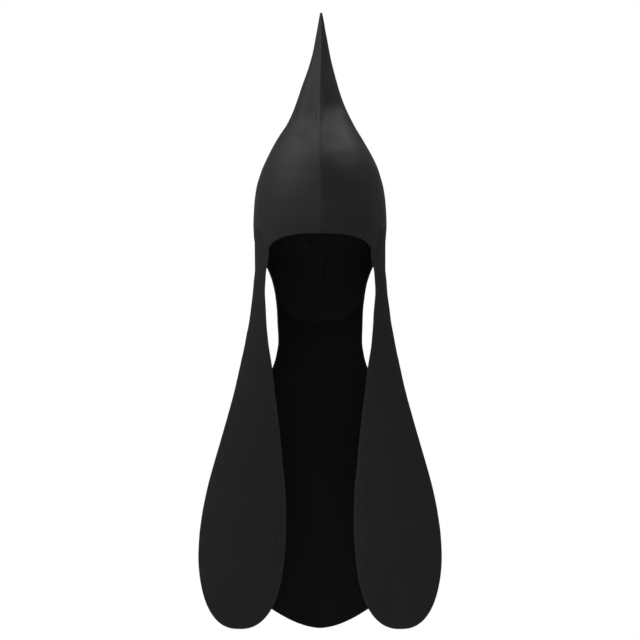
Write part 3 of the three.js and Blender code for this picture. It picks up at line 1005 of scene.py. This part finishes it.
def make_lappet(side):
    """Front hanging, from the temple seam to its round end."""
    u = LAPPET_SHARES[None, :]
    top = lappet_top(TEMPLE_AROUNDS)
    rows = hanging_rows(*LAPPET_ROWS)[:, None]
    z = mix(top, LAPPET_END_Z, rows)
    hung = smoothstep(0, HANG_REACH, top - z)[..., None]
    points = mix(body_point(TEMPLE_AROUNDS[None, :], z), strip_point(u, z), hung)
    frees = [points[:, 0], points[-1], points[:, -1]]
    grid = Grid(points, [points[0]], frees, LAPPET_SEED + side)
    grid.taut = hanging_taut(top - z)
    turn = np.radians(lappet_section["facing"](z))
    grid.facing = np.stack([np.sin(turn), -np.cos(turn), 0 * turn], axis=-1)
    reach = np.minimum(CURL_REACH, CURL_WIDTH_SHARE * lappet_width(z))
    curl = np.clip(1 - grid.free / reach, 0, 1) ** 2
    low_down = smoothstep(CURL_FROM_Z, CURL_FULL_Z, z)
    back = CURL * curl * low_down * grid.ease(CURL_SEAM_REACH)
    grid.points = grid.points + np.array([0, 1, 0]) * back[..., None]
    grid.wrinkle(LAPPET_WRINKLES)
    grid.fold(LAPPET_FOLDS[side], side)
    name = f"lappet_{side_name(side)}"
    half = 0.5 * grid_lengths(points, 1)[:, -1:]
    cloth = cloth_shares(points, half)
    wall = np.full(z.shape, LAPPET_WALL)
    obj, tree = wall_object(name + "_cloth", grid, wall, cloth, side, [hanging, hanging])
    points = grid.points
    edge = np.concatenate([points[:, 0], points[-1, 1:-1], points[::-1, -1]])
    line, normals = inset_line(edge, tree, HEM_WIDTH, 1, points.mean(axis=(0, 1)))
    stitches = stitch_object(name + "_hem_stitches", line, normals, side, thread)
    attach(obj, "root")
    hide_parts(name)


def make_tail(side):
    """Half of the back panel, from the nape seam to its round end."""
    top = crown_edge(NAPE_AROUNDS)
    rows = hanging_rows(*TAIL_ROWS)[:, None]
    z = mix(top, TAIL_END_Z, rows)
    points = body_point(NAPE_AROUNDS[None, :], z)
    frees = [points[:, -1], points[-1]]
    grid = Grid(points, [points[:, 0], points[0]], frees, TAIL_SEED + side)
    grid.taut = hanging_taut(top - z)
    low_down = smoothstep(FLUTE_FROM_Z, FLUTE_FULL_Z, z)
    flute = np.sin(math.pi * points[..., 0] / FLUTE_WIDTH[side]) ** 2
    grid.height = grid.height - FLUTE * flute * low_down
    grid.wrinkle(TAIL_WRINKLES)
    grid.fold(TAIL_FOLDS[side], side)
    name = f"tail_{side_name(side)}"
    wall = np.full(z.shape, TAIL_WALL)
    cloth = cloth_shares(points)
    # The tail's inside face takes the darkest knit, as painted shade
    cloths = [hanging, inside]
    obj, tree = wall_object(name + "_cloth", grid, wall, cloth, side, cloths, centre_seam=True)
    edge = np.concatenate([points[:, -1], points[-1, -2:0:-1]])
    line, normals = inset_line(edge, tree, HEM_WIDTH, -1, points.mean(axis=(0, 1)))
    stitches = stitch_object(name + "_hem_stitches", line, normals, side, thread)
    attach(obj, "root")
    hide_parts(name)


def make_binding():
    """Rolled hem band round the arch of the face opening."""
    turns = np.concatenate([-ARCH_TURNS[:0:-1], ARCH_TURNS])[None, :]
    far_side = np.sort(BINDING_WIDTH - BINDING_LADDER)
    margin = np.concatenate([BINDING_LADDER, BINDING_MIDDLE, far_side])[:, None]
    x, z = arch_point(turns, margin)
    points = body_point(around_at(x), z)
    points[..., 0] *= np.sign(x)
    seams = [points[-1], points[:, 0], points[:, -1]]
    grid = Grid(points, seams, [points[0]], BINDING_SEED)
    grid.taut = EDGE_TAUT * np.ones(z.shape)
    off_middle = (margin - BINDING_ROLL_MIDDLE) / BINDING_ROLL_HALF
    roll = np.sqrt(np.clip(1 - off_middle ** 2, 0, 1))
    grid.height = BINDING_ROLL * roll * grid.ease(BINDING_EDGE_REACH)
    wall = np.full(z.shape, BINDING_WALL)
    cloth = cloth_shares(points)
    # The binding's inside face takes the darkest knit, as painted shade
    obj, tree = wall_object("face_binding_cloth", grid, wall, cloth, LEFT, [rolled, inside])
    row = points[np.argmin(np.abs(margin[:, 0] - BINDING_STITCH_AT))]
    found = [tree.find_nearest(Vector(spot))[:2] for spot in resample(row, STITCH_LINE_STEP)]
    line = np.array([spot for spot, _ in found])
    normals = np.array([normal for _, normal in found])
    stitches = stitch_object("face_binding_stitches", line, normals, LEFT, thread)
    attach(obj, "root")
    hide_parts("face_binding")


for side in (LEFT, RIGHT):
    make_crown(side)
    make_lappet(side)
    make_tail(side)
make_binding()

# Stage: a white floor and surroundings that stay plain white in the picture
FLOOR_Z = -0.70
FLOOR_HALF = 9.0
FLOOR_TONE = (0.8, 0.8, 0.8, 1)
AMBIENT = 0.15


def white_to_camera(tree, other, output):
    """Plain white where it is seen directly, and another shader or light for the rest."""
    path = add_node(tree, "ShaderNodeLightPath").outputs["Is Camera Ray"]
    in_world = output.bl_idname == "ShaderNodeOutputWorld"
    kind = "ShaderNodeBackground" if in_world else "ShaderNodeEmission"
    white = add_node(tree, kind, {"Color": (1, 1, 1, 1), "Strength": 1.0})
    chosen = add_node(tree, "ShaderNodeMixShader")
    tree.links.new(path, chosen.inputs[0])
    tree.links.new(other, chosen.inputs[1])
    tree.links.new(white.outputs[0], chosen.inputs[2])
    tree.links.new(chosen.outputs[0], output.inputs["Surface"])


def make_stage():
    material = bpy.data.materials.new("pale_floor")
    material.use_nodes = True
    tree = material.node_tree
    tree.nodes.remove(tree.nodes["Principled BSDF"])
    matt = add_node(tree, "ShaderNodeBsdfDiffuse", {"Color": FLOOR_TONE})
    white_to_camera(tree, matt.outputs[0], tree.nodes["Material Output"])
    corners = np.array([(-1, -1, 0), (1, -1, 0), (1, 1, 0), (-1, 1, 0)]) * FLOOR_HALF / MM
    floor = new_object("floor", corners, [(0, 1, 2, 3)], [material])
    floor.location.z = FLOOR_Z
    world = bpy.data.worlds.new("white_studio")
    world.use_nodes = True
    bpy.context.scene.world = world
    ambient = world.node_tree.nodes["Background"]
    ambient.inputs["Color"].default_value = (1, 1, 1, 1)
    ambient.inputs["Strength"].default_value = AMBIENT
    white_to_camera(world.node_tree, ambient.outputs[0], world.node_tree.nodes["World Output"])


# Soft square lights, all turned to one spot in the hood
LIGHT_TARGET = Vector((0, 0, -0.1))

# Columns: name, place in metres, size in metres, power in watts
LIGHTS = [
    ("front_low", (0, -2.8, -0.55), 1.0, 52),
    ("high_left", (-1.25, 0.3, 1.9), 0.9, 22),
    ("high_right", (1.2, 0.7, 1.9), 0.9, 23),
    ("left_high", (-1.9, 0.4, 1.2), 0.9, 4),
    ("left_up", (-1.9, -0.6, 1.0), 1.2, 20),
    ("right", (2.2, -0.5, -0.2), 1.2, 3),
    ("high_front", (0, -1.2, 2.0), 0.9, 10),
]


def make_lights():
    for name, at, size, power in LIGHTS:
        lamp = bpy.data.lights.new(name, "AREA")
        lamp.shape = "SQUARE"
        lamp.size = size
        lamp.energy = power
        obj = bpy.data.objects.new(name, lamp)
        obj.location = at
        obj.rotation_euler = (LIGHT_TARGET - Vector(at)).to_track_quat("-Z", "Y").to_euler()
        bpy.context.scene.collection.objects.link(obj)


# Camera: level, straight in front, with a frame 0.8 m wide at the middle of the hood
CAMERA_DISTANCE = 3.4
CAMERA_Z = -0.2125
FRAME_WIDTH = 0.8
SENSOR = 36.0


def make_camera():
    data = bpy.data.cameras.new("camera")
    data.sensor_width = SENSOR
    data.lens = SENSOR * CAMERA_DISTANCE / FRAME_WIDTH
    camera = bpy.data.objects.new("camera", data)
    camera.location = (0, -CAMERA_DISTANCE, CAMERA_Z)
    camera.rotation_euler = (math.pi / 2, 0, 0)
    bpy.context.scene.collection.objects.link(camera)
    bpy.context.scene.camera = camera


make_stage()
make_lights()
make_camera()
bpy.context.scene.view_settings.view_transform = "Standard"
